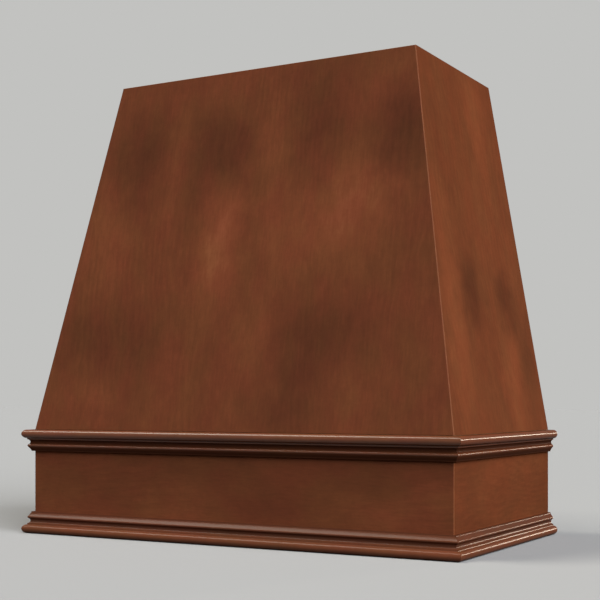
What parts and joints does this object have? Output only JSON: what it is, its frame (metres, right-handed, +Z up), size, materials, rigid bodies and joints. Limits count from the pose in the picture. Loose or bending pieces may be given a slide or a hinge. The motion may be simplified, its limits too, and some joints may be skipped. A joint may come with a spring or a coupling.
{
  "type": "range hood cover",
  "caption": "Tapered stained-wood cover for a wall range hood, with mitred leaning panels, a straight apron and moulding runs; open below, above and to the wall.",
  "frame": {"origin": "centre of the underside of the whole cover: on its centre line, midway between the wall plane and the front of the mouldings, at the level of the bottom edge", "axes": "+X to the right seen from the room, +Y into the wall that the cover hangs on, +Z up; the front faces -Y"},
  "size_m": [0.953, 0.5146, 0.9144],
  "materials": {
    "stained_wood": "medium brown stain, satin varnish",
    "stained_trim": "medium brown stain, satin varnish",
    "bare_plywood": "unfinished birch plywood",
    "bare_poplar": "unfinished poplar",
    "screw": "yellow zinc plate"
  },
  "bodies": {
    "root": {"front_panel": "stained_wood", "side_panel_left": "stained_wood", "side_panel_right": "stained_wood", "apron_front": "stained_wood", "apron_side_left": "stained_wood", "apron_side_right": "stained_wood", "upper_moulding_front": "stained_trim", "upper_moulding_side_left": "stained_trim", "upper_moulding_side_right": "stained_trim", "lower_moulding_front": "stained_trim", "lower_moulding_side_left": "stained_trim", "lower_moulding_side_right": "stained_trim", "liner_ledger_front": "bare_plywood", "liner_ledger_back": "bare_plywood", "liner_ledger_side_left": "bare_plywood", "liner_ledger_side_right": "bare_plywood", "waist_rail_front": "bare_plywood", "waist_rail_side_left": "bare_plywood", "waist_rail_side_right": "bare_plywood", "top_rail_front": "bare_plywood", "top_rail_side_left": "bare_plywood", "top_rail_side_right": "bare_plywood", "hanging_rail_lower": "bare_plywood", "hanging_rail_upper": "bare_plywood", "corner_batten_left": "bare_poplar", "corner_batten_right": "bare_poplar", "corner_block_front_left": "bare_poplar", "corner_block_front_right": "bare_poplar", "corner_block_rear_left": "bare_poplar", "corner_block_rear_right": "bare_poplar", "glue_block_front_left": "bare_poplar", "glue_block_front_right": "bare_poplar", "glue_block_side_left": "bare_poplar", "glue_block_side_right": "bare_poplar", "pocket_screw_lower_left_1": "screw", "pocket_screw_lower_left_2": "screw", "pocket_screw_lower_right_1": "screw", "pocket_screw_lower_right_2": "screw", "pocket_screw_upper_left_1": "screw", "pocket_screw_upper_left_2": "screw", "pocket_screw_upper_right_1": "screw", "pocket_screw_upper_right_2": "screw"}
  },
  "joints": []
}
